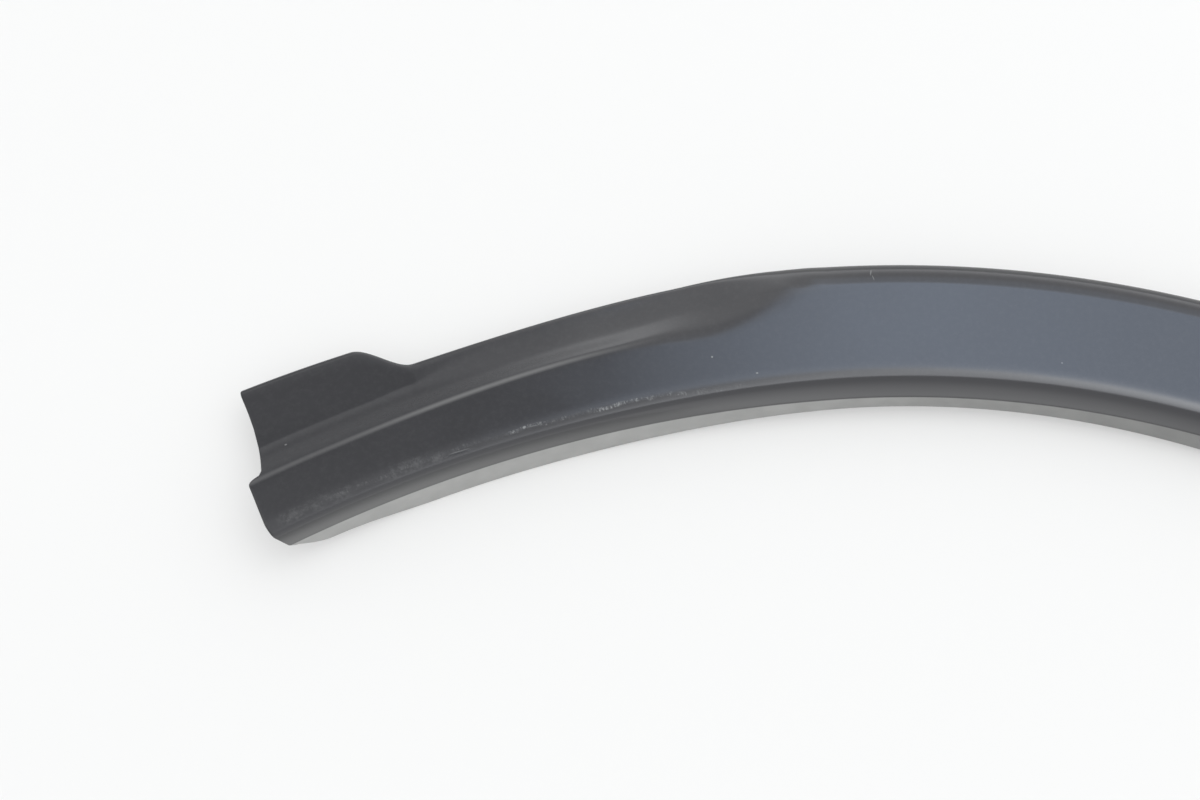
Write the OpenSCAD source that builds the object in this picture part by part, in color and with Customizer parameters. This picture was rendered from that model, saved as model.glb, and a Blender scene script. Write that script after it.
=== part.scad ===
// Wheel arch trim: a one-piece moulded plastic strip that covers the edge of a
// car's wheel opening. It lies face up, as it comes to rest when laid down.
// Stations run along the lip from the left end, offsets run outward from the
// lip, away from the wheel, and heights are above the surface it lies on.

/* [Arch path] */
// Radius of the lip round the wheel opening
wheel_radius = 413.9; // [380:0.1:450]
// Radius of the flatter stretch of lip at the left
left_radius = 577.7; // [480:0.1:700]
// Angle from the crest, to the left, where the two radii meet
join_angle = 4.35; // [3:0.05:8]
// Angle of the lip at the left end, from the crest's tangent
left_angle = 29.3; // [26:0.1:34]
// Angle from the crest to the plain right end
right_angle = 80; // [60:1:88]

/* [Section] */
// Height of the face above the surface it lies on
face_height = 24; // [22:0.1:30]
// Height of the edge between the lip and the sloped band
lip_top_height = 16; // [13:0.1:17]
// Wall thickness of the face, the band and the outer wall
wall = 2.8; // [2:0.1:3]
// Thickness of the lip
lip_wall = 2.5; // [2:0.1:3]
// Width of the sloped band in plan, at the left
band_width_left = 4; // [3:0.1:6]
// Width of the sloped band in plan, round the wheel
band_width_right = 6; // [4:0.1:8]
// How far the rounding of the lower edge runs into the face
edge_run = 9; // [6:0.1:10]
// Overall width round the wheel
arch_width = 68.7; // [66:0.1:76]
// Width of the rolled outer edge round the wheel
roll_width = 15.5; // [11:0.1:18]
// Height of the rolled outer edge round the wheel
roll_height = 13; // [9:0.1:16]

/* [Recessed flange] */
// Depth of the flange below the face
flange_depth = 8; // [5:0.1:9]
// Height of the rim turned down along the flange's outer edge
flange_rim = 5; // [4.8:0.1:6]
// Width from the lip to the flange's outer edge, at its narrowest
flange_width = 60.3; // [56:0.1:63]
// Width from the lip to the ridge at the left end
ridge_width = 31.2; // [29:0.1:34]
// Width from the lip to the ridge where the recess begins to fade
ridge_width_fade = 37; // [35:0.1:39]
// Slope of the cove below the ridge
cove_slope = 32; // [26:1:40]
// Station where the recess begins to fade
fade_start = 197; // [180:1:210]
// Station where the recess has gone
fade_end = 257; // [250:1:290]

/* [Left end] */
// Width from the lip to the tab's outer edge, at its right corner
tab_width = 76.2; // [70:0.1:82]
// How much wider the tab is at its left corner
tab_taper = 3.4; // [0:0.1:6]
// Station where the tab's right corner begins
tab_end = 60.6; // [50:0.5:75]
// Length of the step from the tab down to the flange
tab_step = 21.5; // [16:0.5:30]
// How far the flange's end is set back from the face's end
flange_setback = 7.8; // [6:0.1:14]
// How far the lip's end is set back from the face's end
lip_setback = 5.4; // [4.5:0.1:10]
// Skew of the face's end, in millimetres per millimetre of width
face_skew = 0.08; // [0:0.01:0.3]
// Skew of the flange's end, in millimetres per millimetre of width
flange_skew = 0.17; // [0:0.01:0.3]
// How far the middle of the flange's end is hollowed
flange_bow = 1.8; // [0:0.1:2.4]
// Length of the sweep at the end of the lip's lower edge
lip_sweep = 16; // [12:0.5:24]

/* [Lip relief] */
// Height of the lip's lower edge above the surface at the crest
crest_relief = 6.4; // [0:0.1:8]
// Height of the lip's lower edge at the end of the sweep
sweep_relief = 4.6; // [0:0.1:6]
// Length of the crest's relief, from the crest to the left
relief_left = 170; // [150:1:180]
// Length of the crest's relief, from the crest to the right
relief_right = 270; // [180:1:320]

/* [Clip towers] */
// Number of clip towers on the back
tower_count = 6; // [4:1:7]
// Station of the first tower
tower_first = 66; // [60:1:90]
// Distance of the last tower from the right end
tower_last = 60; // [40:1:90]
// Length of a tower along the lip
tower_length = 22; // [20:0.5:24]
// Width of a tower across the lip
tower_width = 16; // [14:0.5:18]
// Height of a tower's plate above the surface
tower_plate_height = 9; // [7:0.1:11]
// Thickness of a tower's plate
tower_plate = 2.2; // [1.8:0.1:2.6]
// Thickness of a tower's walls
tower_wall = 1.8; // [1.4:0.1:2.2]
// Width of the slot for a clip's neck
slot_width = 7.6; // [6:0.1:9]

/* [Gussets] */
// Gussets behind the lip in each bay between two towers
gussets_per_bay = 2; // [0:1:3]
// Reach of a gusset from the lip
gusset_reach = 13; // [10:0.5:16]
// Thickness of a gusset
gusset_wall = 1.6; // [1.2:0.1:2]

/* [Hidden] */

// Fineness of the strip: lengths between stations, and points in each curve
fine_step = 2.7;
middle_step = 7;
fade_step = 4.6;
plain_step = 16;
fine_end = 108;
edge_points = 4;
ridge_points = 3;
cove_points = 3;
roll_points = 4;
// Share of the cove that stays straight before it turns level, and shares for where the turn ends
cove_straight = 0.6;
tail_tab = 0.13;
tail_plain = 0.9;
// Share of a radius at which the handles of a quarter turn lie
quarter = 0.55;
// Roundings of the edges
knee_rounding = 0.6;
ridge_rounding = 1.3;
ridge_fade_rounding = 6;
least_rounding = 0.5;
// How far below the knee the lip's wall ends at the left
lip_end_drop = 0.8;
rim_radius = wall + 0.4;
// Rounding of the tab's left corner, in plan
corner_rounding = 1.6;
// Flat left between the end of the fading ridge and the rolled edge
roll_gap = 2;
// Stations from which the ridge drifts outward, the ridge goes soft and the band widens
ridge_drift = 30;
ridge_fade = 0.8 * fade_start;
band_fade = 0.6 * fade_start;
// The flange starts to rise before the recess fades, and is level with the face before its end
rise_early = 7;
level_early = 7;
// How far the face bends down before the ridge
ridge_lead = 4.5;
// Width of the ramp from the face's end to the flange's end, and where it starts
ramp = 3.4;
ramp_before = 1.6;
// Share of the lower edge's rounding that runs down the band
band_share = 0.25;
// Slope of the cove under which the ridge's rounding shrinks away
soft_slope = 4;
// How many sweeps after its end the lip's lower edge has come back down
sweep_tail = 4;
// How far a gusset keeps above the lip's relief, and how thick its outline is at its two tips
gusset_clear = 4;
gusset_tip = 1.5;
// How far a tower's room is cut into the wall that covers it, and how far its slot's cut runs past
bite = 0.4;
cut_past = 1;
// How far along the strip the cuts of the left end reach
end_reach = 80;

// Lengths that follow from the sizes above
left_length = left_radius * (left_angle - join_angle) * PI / 180;
right_length = wheel_radius * (right_angle + join_angle) * PI / 180;
strip_length = left_length + right_length;
crest_station = left_length + wheel_radius * join_angle * PI / 180;
flange_height = face_height - flange_depth;

function mix(a, b, t) = a + (b - a) * t;
function clamp01(t) = max(0, min(1, t));
function ease(t) = let (c = clamp01(t)) c * c * (3 - 2 * c);
function fall(s, from, to) = 1 - ease((s - from) / (to - from));
function reversed(list) = [for (i = [len(list) - 1 : -1 : 0]) list[i]];
// Direction that falls by an angle, and the direction out of that surface
function falling(a) = [cos(a), -sin(a)];
function outward(a) = [sin(a), cos(a)];

// Points of a curve with one handle, and with two, without the start point
function curve3(a, b, c, n) = [
    for (i = [1 : n]) let (t = i / n, r = 1 - t)
        a * r * r + b * 2 * r * t + c * t * t
];
function curve4(a, b, c, d, n) = [
    for (i = [1 : n]) let (t = i / n, r = 1 - t)
        a * r * r * r + b * 3 * r * r * t + c * 3 * r * t * t + d * t * t * t
];

// Heading of the lip at a station, from the crest's tangent, left is negative
function heading(s) = s < left_length
    ? -left_angle + s / left_radius * 180 / PI
    : -join_angle + (s - left_length) / wheel_radius * 180 / PI;
// Centre of the left stretch, seen from the wheel's centre
left_centre = (left_radius - wheel_radius) * [sin(join_angle), -cos(join_angle)];
// Place in plan of a point at a station and an offset, seen from the wheel's centre
function plan(s, u) = s < left_length
    ? left_centre + (left_radius + u) * outward(heading(s))
    : (wheel_radius + u) * outward(heading(s));

// How much of the recess is left at a station: all at the left, none round the wheel
function recess(s) = fall(s, fade_start, fade_end);
function recess_depth(s) = flange_depth * fall(s, fade_start - rise_early, fade_end - level_early);
// Where the cove turns level, between its handle and the flange's edge: early at the tab
function cove_tail(s) = mix(tail_plain, tail_tab, fall(s, tab_end, 2 * tab_end - tab_step / 2));
// The cove loses its slope, and its ridge goes soft, before the recess ends
function cove_angle(s) = cove_slope * fall(s, ridge_fade, fade_end);
function ridge_round(s) = mix(ridge_fade_rounding, ridge_rounding, fall(s, ridge_fade, fade_start));
function band_width(s) = mix(band_width_right, band_width_left, fall(s, band_fade, fade_end));
function shoulder(s) = mix(
    arch_width - roll_width - roll_gap,
    mix(ridge_width_fade, ridge_width, fall(s, ridge_drift, fade_start)),
    recess(s));

// Outer edge: plain round the wheel, a narrower flange, and the tab at the left
function outer_edge(s) = let (step_end = tab_end + tab_step)
    mix(arch_width, flange_width, fall(s, step_end, fade_end))
    + (tab_width - flange_width + tab_taper * (1 - min(1, s / tab_end))) * fall(s, tab_end, step_end);
// Width and height of the outer edge's rounding
function outer_round(s) = mix([roll_width, roll_height], rim_radius * [1, 1], recess(s));
function outer_bottom(s) = mix(0, flange_height - flange_rim, recess(s));

// Lower edge of the lip: it sweeps up to the left end and has a relief at the crest
lip_start = lip_setback + flange_depth / 2;
lip_start_height = lip_top_height - lip_wall - lip_end_drop;
function lip_bottom(s) = let (
    swept = clamp01((s - lip_start) / lip_sweep),
    near_end = mix(lip_start_height, sweep_relief, sin(90 * swept)),
    from_crest = s - crest_station,
    away = min(1, from_crest < 0 ? -from_crest / relief_left : from_crest / relief_right)
) near_end * fall(s, lip_start + lip_sweep, lip_start + sweep_tail * lip_sweep)
    + crest_relief * pow(cos(90 * away), 2);

// One skin of the section, at an inset below the visible surface. It runs from
// the lip up the band, over the face, down the cove and round the outer edge.
function skin(s, inset) = let (
    // The lip meets the band at the knee
    rise = face_height - lip_top_height,
    run = band_width(s),
    slant = norm([run, rise]),
    band_dir = [run, rise] / slant,
    lip_u = lip_wall * inset / wall,
    knee = [lip_u, lip_top_height + (lip_u * rise - inset * slant) / run],
    // The band meets the face at the lower edge
    face_z = face_height - inset,
    edge = [knee[0] + (face_z - knee[1]) * run / rise, face_z],
    edge_start = edge - edge_run * band_share * band_dir,
    edge_end = edge + [edge_run, 0],
    // The face meets the cove at the ridge
    slope = cove_angle(s),
    soft = ridge_round(s) * min(1, slope / soft_slope),
    ridge = [shoulder(s) - inset * tan(slope / 2), face_z],
    ridge_in = ridge - [max(soft, ridge_lead), 0],
    ridge_out = ridge + max(soft, least_rounding) * falling(slope),
    // The cove runs out level where it meets the flange
    roll = outer_round(s) - inset * [1, 1],
    flange = [outer_edge(s) - outer_round(s)[0], face_height - recess_depth(s) - inset],
    level = min((flange[0] - ridge_out[0]) / 2, (ridge_out[1] - flange[1]) / max(tan(slope), 0.01)),
    handle = ridge_out + level * [1, -tan(slope)],
    cove_turn = mix(ridge_out, handle, cove_straight),
    cove_end = mix(handle, flange, cove_tail(s)),
    // The outer edge rolls over to a wall that drops straight down
    end_slope = atan2(handle[1] - flange[1], flange[0] - handle[0]),
    side = [outer_edge(s) - inset, flange[1] - roll[1]]
) concat(
    [knee - [0, knee_rounding], knee + knee_rounding * band_dir, edge_start],
    curve3(edge_start, edge, edge_end, edge_points),
    [ridge_in],
    curve3(ridge_in, ridge, ridge_out, ridge_points),
    [cove_turn],
    curve3(cove_turn, handle, cove_end, cove_points),
    [flange],
    curve4(flange, flange + quarter * roll[0] * falling(end_slope), side + [0, quarter * roll[1]], side,
        roll_points)
);

// Half of a wall's blunt tip, on the side that faces out (1) or in (-1)
function tip(u, low, thickness, side) = [
    for (a = [22.5, 67.5])
        [u, low + thickness / 2] + thickness / 2 / cos(22.5) * [side * sin(a), -cos(a)]
];
// Closed ring of the section: out over the visible skin, back over the hidden one
function half_ring(s, inset, side) = concat(
    tip(lip_wall / 2, lip_bottom(s), lip_wall, -side),
    skin(s, inset),
    reversed(tip(outer_edge(s) - wall / 2, outer_bottom(s), wall, side)));
function ring(s) = concat(half_ring(s, 0, 1), reversed(half_ring(s, wall, -1)));

// Station where a line of the strip starts, from its place in the section
function line_start(p) = let (
    low = band_width_left + edge_run / 2,
    down_band = clamp01((face_height - p[1]) / (face_height - lip_top_height)),
    down_lip = clamp01((lip_top_height - p[1]) / (lip_top_height - lip_start_height)),
    face = face_skew * (p[0] - low),
    across = p[0] - ridge_width,
    hollow = sin(180 * clamp01(across / (tab_width - ridge_width))),
    flange = flange_setback + flange_skew * across + flange_bow * hollow,
    from_corner = clamp01((outer_edge(0) - p[0]) / corner_rounding),
    corner = corner_rounding * (1 - sqrt(1 - pow(1 - from_corner, 2)))
) p[0] < low
    ? mix(lip_setback * down_band, lip_start, down_lip)
    : mix(face, flange, ease((across + ramp_before) / ramp)) + corner;

function steps(from, to, step) = let (n = ceil((to - from) / step)) [
    for (i = [0 : n - 1]) mix(from, to, i / n)
];
stations = concat(
    steps(0, fine_end, fine_step),
    steps(fine_end, fade_start - 2 * fade_step, middle_step),
    steps(fade_start - 2 * fade_step, fade_end + fade_step, fade_step),
    steps(fade_end + fade_step, strip_length, plain_step),
    [strip_length]);
starts = [for (p = ring(0)) line_start(p)];
// Every point of the strip as station, offset and height
strip_rings = [
    for (s = stations) s > end_reach
        ? [for (p = ring(s)) [s, p[0], p[1]]]
        : [for (j = [0 : len(starts) - 1])
            let (t = s + starts[j] * (1 - s / end_reach), p = ring(t)[j]) [t, p[0], p[1]]]
];
strip_points = [for (r = strip_rings) for (q = r) concat(plan(q[0], q[1]), q[2])];
// Middle of the strip in plan, which the part's origin lies under
middle = [for (k = [0, 1]) let (v = [for (p = strip_points) p[k]]) (min(v) + max(v)) / 2];

// The wall of the trim: rings of points joined by sides, with a cap at each end
module strip() {
    n = len(starts);
    end = (len(stations) - 1) * n;
    sides = [
        for (i = [0 : n : end - n]) for (j = [0 : n - 1])
            let (a = i + j, b = i + (j + 1) % n)
            each [[a, b + n, a + n], [a, b, b + n]]
    ];
    // The visible and the hidden half of a ring pair up across the wall
    cap = [
        for (j = [0 : n / 2 - 2]) let (a = j, b = j + 1, c = n - 2 - j, d = n - 1 - j)
            each [[a, c, b], [a, d, c]]
    ];
    end_cap = [for (t = cap) end * [1, 1, 1] + reversed(t)];
    polyhedron(strip_points, concat(sides, cap, end_cap));
}

// Places a piece at a station and an offset, its X along the lip and its Y outward
module at(s, u) translate(concat(plan(s, u), 0)) rotate(-heading(s)) children();

tower_stations = [
    for (i = [0 : tower_count - 1])
        mix(tower_first, strip_length - tower_last, i / (tower_count - 1))
];
function tower_offset(s) = (band_width(s) + shoulder(s)) / 2;

// Hollow tower that a push-in clip slides into, open towards the outer edge
module clip_tower() {
    rooted = face_height - wall / 2 - tower_plate_height;
    room = face_height - wall + bite - tower_plate_height - tower_plate;
    translate([0, 0, tower_plate_height]) difference() {
        translate([-tower_length / 2, -tower_width / 2, 0])
            cube([tower_length, tower_width, rooted]);
        translate([tower_wall - tower_length / 2, tower_wall - tower_width / 2, tower_plate])
            cube([tower_length - 2 * tower_wall, tower_width, room]);
        translate([0, 0, -cut_past]) {
            cylinder(d = slot_width, h = tower_plate + 2 * cut_past, $fn = 48);
            translate([-slot_width / 2, 0, 0])
                cube([slot_width, tower_width, tower_plate + 2 * cut_past]);
        }
    }
}

// Thin web that stiffens the corner between the lip and the face
module gusset(s) {
    low = crest_relief + gusset_clear;
    under = skin(s, wall / 2);
    outline = concat(
        [[lip_wall / 2, low]],
        [for (i = [0 : 2]) under[i]],
        [[band_width(s) + edge_run / 2, face_height - wall / 2],
            [gusset_reach, face_height - wall / 2],
            [gusset_reach, face_height - wall - gusset_tip],
            [lip_wall + gusset_tip, low]]);
    at(s, 0) translate([gusset_wall / 2, 0, 0]) rotate([90, 0, -90])
        linear_extrude(gusset_wall) mirror([1, 0]) polygon(outline);
}

module arch_trim() color([0.2, 0.2, 0.21]) translate(concat(-middle, 0)) {
    strip();
    for (s = tower_stations) at(s, tower_offset(s)) clip_tower();
    for (i = [0 : tower_count - 2]) for (k = [1 : 1 : gussets_per_bay])
        gusset(mix(tower_stations[i], tower_stations[i + 1], k / (gussets_per_bay + 1)));
}

arch_trim();
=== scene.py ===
import math

import bpy
from bpy.props import FloatProperty, FloatVectorProperty, IntProperty, PointerProperty
from mathutils import Matrix, Vector


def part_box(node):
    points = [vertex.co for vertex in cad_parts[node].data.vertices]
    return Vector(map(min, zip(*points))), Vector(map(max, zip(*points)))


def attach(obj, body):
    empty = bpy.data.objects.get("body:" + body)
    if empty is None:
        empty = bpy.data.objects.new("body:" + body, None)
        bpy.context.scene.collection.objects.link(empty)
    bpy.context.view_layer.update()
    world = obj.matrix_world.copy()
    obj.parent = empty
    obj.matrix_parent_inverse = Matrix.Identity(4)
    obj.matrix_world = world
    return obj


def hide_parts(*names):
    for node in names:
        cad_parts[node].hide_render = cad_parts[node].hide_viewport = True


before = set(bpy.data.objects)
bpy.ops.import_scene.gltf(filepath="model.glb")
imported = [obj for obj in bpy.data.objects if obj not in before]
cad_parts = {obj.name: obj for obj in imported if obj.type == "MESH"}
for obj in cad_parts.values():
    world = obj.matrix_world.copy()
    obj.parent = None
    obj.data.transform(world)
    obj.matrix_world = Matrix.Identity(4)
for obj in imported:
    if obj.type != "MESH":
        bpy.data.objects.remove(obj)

bl_info = {
    "name": "Wheel arch trim",
    "version": (1, 0, 0),
    "blender": (4, 5, 0),
    "location": "3D View > Sidebar > Arch trim",
    "description": "Models a moulded wheel arch trim and the studio that it lies in",
    "category": "Mesh",
}

NODE = "arch_trim"
MM = 0.001
# Angles at the points of the round foot of a wall, and at the stations of a rounded cut
FOOT_ANGLES = (0, 0.4, 0.8, 1.2, math.pi / 2)
CUT_ANGLES = (0, 0.35, 0.8, 1.2, math.pi / 2)
# Points along each part of the section, from the lip to the outer wall
LIP_POINTS = 6
KNEE_POINTS = 3
BAND_POINTS = 3
EDGE_POINTS = 10
FACE_POINTS = 6
RIDGE_POINTS = 8
SLOPE_POINTS = 3
COVE_POINTS = 10
FLANGE_POINTS = 3
ROLL_POINTS = 9
WALL_POINTS = 3
# Lines of the section at the middle of the lip's knee and at the middle of the ridge, and the number of
# lines on the outer wall and its foot
KNEE_LINE = len(FOOT_ANGLES) + LIP_POINTS + KNEE_POINTS // 2
RIDGE_LINE = KNEE_LINE + BAND_POINTS + EDGE_POINTS + FACE_POINTS + RIDGE_POINTS // 2 + 1
OUTER_WALL_LINES = WALL_POINTS + len(FOOT_ANGLES) - 1
# Lengths between stations: at the left end, along the recess and after it
END_STEP = 1.35 * MM
END_STEP_LAST = 110 * MM
RECESS_STEP = 2.3 * MM
RECESS_STEP_LAST = 262 * MM
PLAIN_STEP = 5 * MM
# Shares of the station where the recess begins to fade, from which the band widens and the ridge goes soft
BAND_FADE = 0.6
RIDGE_FADE = 0.8
# Share of the cove that stays straight before it turns level, and shares for where the turn ends
COVE_STRAIGHT = 0.6
TAIL_TAB = 0.13
TAIL_PLAIN = 0.9
# Share of a radius at which the handles of a quarter turn lie
QUARTER = 0.55
# Share of the lower edge's rounding that runs down the band
BAND_SHARE = 0.25
# Slope of the cove under which the ridge's rounding shrinks away
SOFT_SLOPE = math.radians(4)
# How many sweeps after its end the lip's lower edge has come back down
SWEEP_TAIL = 4
# Sharpness of the ramp between the face's end and the flange's end
RAMP_POWER = 5
# Points of the skin this close together are joined into one
JOIN_WITHIN = 0.005 * MM
# How near a plane a point counts as on it
BISECT_WITHIN = 0.001 * MM
PLASTIC_IOR = 1.5
# Single marks on the plastic: station, distance across, length and width in millimetres, turn in degrees,
# and depth
MARKS = (
    (22.6, 49.5, 0.7, 0.6, 0, 0.3),
    (200, 26.7, 0.6, 0.6, 0, 0.35),
    (217.4, 15.8, 0.7, 0.5, 0, 0.35),
    (346.4, 20.8, 0.6, 0.6, 0, 0.18),
    (115.2, 12.9, 1.1, 0.8, 20, 0.34),
    (119, 12.4, 3.4, 0.35, -6, 0.14),
    (86, 11.2, 6, 0.25, -2, 0.16),
    (270.5, 63, 2.6, 0.35, 80, 0.25),
    (271.1, 59.6, 2.0, 0.3, 100, 0.2),
)
# The one dark scratch, without a depth
SCRATCH = (85, 10.5, 7.5, 0.45, -2)
# Colours of the light from the room, the sky in the window and the lamp
ROOM_TINT = (0.99, 1.0, 1.02)
SKY_TINT = (0.83, 1.0, 1.27)
LAMP_TINT = (0.96, 1.0, 1.05)
# The camera of the photograph: 62 degrees above the board, looking along +Y, through a 60 mm lens
CAMERA_PLACE = Vector((-226.67, -273.66, 784.9)) * MM
CAMERA_TILT = math.radians(90 - 62)
CAMERA_LENS = 60.0
CAMERA_SENSOR = 36.0


def linear(hex_colour):
    """An sRGB hex colour as linear red, green, blue and alpha."""
    parts = [int(hex_colour[i:i + 2], 16) / 255 for i in (1, 3, 5)]
    return [p / 12.92 if p <= 0.04045 else ((p + 0.055) / 1.055) ** 2.4 for p in parts] + [1.0]


def length(name, millimetres, description):
    return FloatProperty(
        name=name, description=description, default=millimetres * MM, min=0.0, unit="LENGTH")


def angle(name, degrees, description):
    return FloatProperty(
        name=name, description=description, default=math.radians(degrees), unit="ROTATION")


def factor(name, default, description):
    return FloatProperty(
        name=name, description=description, default=default, min=0.0, max=1.0, subtype="FACTOR")


def strength(name, default, description):
    return FloatProperty(name=name, description=description, default=default, min=0.0)


def colour(name, hex_colour, description):
    return FloatVectorProperty(
        name=name, description=description, default=linear(hex_colour), size=4, min=0.0, max=1.0,
        subtype="COLOR")


class TrimSizes(bpy.types.PropertyGroup):
    """Sizes of the moulding, as in the solid model"""
    wheel_radius: length("Wheel radius", 413.9, "Radius of the lip round the wheel opening")
    left_radius: length("Left radius", 577.7, "Radius of the flatter stretch of lip at the left")
    join_angle: angle("Join angle", 4.35, "Angle from the crest, to the left, where the radii meet")
    left_angle: angle("Left angle", 29.3, "Angle of the lip at the left end")
    right_angle: angle("Right angle", 80, "Angle from the crest to the plain right end")
    face_height: length("Face height", 24, "Height of the face above the floor")
    lip_top: length("Lip top", 16, "Height of the edge between the lip and the band")
    wall: length("Wall", 2.8, "Wall thickness")
    lip_wall: length("Lip wall", 2.5, "Thickness of the lip")
    band_left: length("Band, left", 4, "Width of the sloped band at the left")
    band_right: length("Band, right", 6, "Width of the sloped band round the wheel")
    edge_run: length("Edge run", 9, "How far the rounding of the lower edge runs into the face")
    arch_width: length("Arch width", 68.7, "Overall width round the wheel")
    roll_width: length("Roll width", 15.5, "Width of the rolled outer edge round the wheel")
    roll_height: length("Roll height", 13, "Height of the rolled outer edge round the wheel")
    rim_radius: length("Rim radius", 3.2, "Radius of the flange's turned-down edge")
    flange_depth: length("Flange depth", 8, "Depth of the flange below the face")
    flange_rim: length("Flange rim", 5, "Height of the flange's turned-down edge")
    flange_width: length("Flange width", 60.3, "Width to the flange's edge at its narrowest")
    ridge_width: length("Ridge width", 31.2, "Width to the ridge at the left end")
    ridge_width_fade: length("Ridge width, fade", 37, "Width to the ridge where the recess fades")
    cove_slope: angle("Cove slope", 30.5, "Slope of the cove below the ridge")
    fade_start: length("Fade start", 197, "Station where the recess begins to fade")
    fade_end: length("Fade end", 257, "Station where the recess has gone")
    tab_width: length("Tab width", 76.2, "Width to the tab's edge at its right corner")
    tab_taper: length("Tab taper", 3.4, "How much wider the tab is at its left corner")
    tab_end: length("Tab end", 60.6, "Station where the tab's right corner begins")
    tab_step: length("Tab step", 21.5, "Length of the step down to the flange")
    flange_setback: length("Flange setback", 7.8, "How far the flange's end is set back")
    lip_setback: length("Lip setback", 5.4, "How far the lip's end is set back")
    face_skew: factor("Face skew", 0.08, "Skew of the face's end")
    flange_skew: factor("Flange skew", 0.17, "Skew of the flange's end")
    flange_bow: length("Flange bow", 1.8, "How far the middle of the flange's end is hollowed")
    lip_sweep: length("Lip sweep", 16, "Length of the sweep at the end of the lip's lower edge")
    crest_relief: length("Crest relief", 6.4, "Height of the lip's lower edge at the crest")
    sweep_relief: length("Sweep relief", 4.6, "Height of the lip's lower edge after the sweep")
    relief_left: length("Relief, left", 170, "Length of the crest's relief to the left")
    relief_right: length("Relief, right", 270, "Length of the crest's relief to the right")
    end_reach: length("End reach", 80, "How far the cuts of the left end reach")
    corner: length("Corner", 1.6, "Rounding of the tab's left corner")
    cut_round: length("Cut rounding", 0.6, "Rounding of the edges at both ends")
    knee_rounding: length("Knee rounding", 0.6, "Rounding between the lip and the band")
    ridge_rounding: length("Ridge rounding", 1.3, "Rounding of the ridge at the left")
    ridge_rounding_fade: length("Ridge rounding, fade", 6, "Rounding of the ridge where the recess fades")
    least_rounding: length("Least rounding", 0.5, "Rounding left where there is no ridge")
    ridge_lead: length("Ridge lead", 4.5, "How far the face bends down before the ridge")
    ridge_drift: length("Ridge drift", 30, "Station from which the ridge drifts outward")
    roll_gap: length("Roll gap", 2, "Flat between the end of the fading ridge and the rolled edge")
    fade_lead: length("Fade lead", 7, "How far the flange rises ahead of the fading recess")
    lip_end_drop: length("Lip end drop", 0.8, "How far below the knee the lip's wall ends at the left")
    end_ramp: length("End ramp", 4.3, "Width of the ramp from the face's end to the flange's end")
    end_ramp_before: length("End ramp, before", 3, "How far before the ridge that ramp starts")


class TowerSizes(bpy.types.PropertyGroup):
    """Sizes of the clip towers and gussets on the back"""
    count: IntProperty(name="Towers", description="Number of clip towers", default=6, min=2)
    first: length("First tower", 66, "Station of the first tower")
    last: length("Last tower", 60, "Distance of the last tower from the right end")
    long: length("Tower length", 22, "Length of a tower along the lip")
    wide: length("Tower width", 16, "Width of a tower across the lip")
    plate_height: length("Plate height", 9, "Height of a tower's plate above the floor")
    plate: length("Plate", 2.2, "Thickness of a tower's plate")
    wall: length("Tower wall", 1.8, "Thickness of a tower's walls")
    slot: length("Slot width", 7.6, "Width of the slot for a clip's neck")
    gussets: IntProperty(name="Gussets", description="Gussets in each bay", default=2, min=0)
    gusset_reach: length("Gusset reach", 13, "Reach of a gusset from the lip")
    gusset_wall: length("Gusset thickness", 1.6, "Thickness of a gusset")
    gusset_clear: length("Gusset clearance", 4, "How far a gusset keeps above the lip's relief")
    gusset_tip: length("Gusset tip", 1.5, "Thickness of a gusset's outline at its two tips")
    gusset_bevel: length("Gusset bevel", 0.25, "Rounding of a gusset's edges")
    bevel: length("Tower bevel", 0.3, "Rounding of a tower's edges")
    bite: length("Bite", 0.4, "How far a tower's room is cut into the wall that covers it")
    cut_past: length("Cut past", 1, "How far a cut runs past what it cuts")


class TrimFinish(bpy.types.PropertyGroup):
    """Colours and wear of the plastic"""
    plastic: colour("Plastic", "#29292C", "Colour of the plastic, moulded in")
    # The film's pale colour also paints the highlight along the ridge
    film_and_highlight: colour("Film", "#C9C9C6", "Colour of the chalky film on the lip")
    scuff: colour("Scuffs", "#B4B6B4", "Colour of the scuffed plastic")
    scratch: colour("Scratch", "#101012", "Colour in the dark scratch")
    gloss: factor("Roughness", 0.13, "Roughness of the visible side")
    lip_film: factor("Lip film", 0.74, "How much of the lip's colour is film, at the left")
    lip_film_far: factor("Lip film, far", 0.52, "Share of that film left round the wheel")
    band_film: factor("Band film", 0.24, "How much of the band's colour is film, at the left")
    band_film_far: factor("Band film, far", 0.09, "How much of it is film round the wheel")
    face_film: factor("Face film", 0.05, "Share of the band's film that lies on the face too")
    dust: factor("Dust", 0.014, "Depth of the fine dust on the face")
    # The pale line along the ridge is partly wear and partly a painted highlight
    ridge_wear_and_highlight: factor("Ridge wear and highlight", 0.16, "Depth of the pale line along the ridge")
    # Makes the colour a little paler beyond the ridge where the recess fades
    fade_paling: factor("Fade film", 0.02, "Film beyond the ridge where the recess fades")
    strokes: factor("Strokes", 0.34, "Depth of the row of strokes along the lower edge")
    clouds: factor("Clouds", 0.09, "Depth of the scuffed patches at the left")


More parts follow.
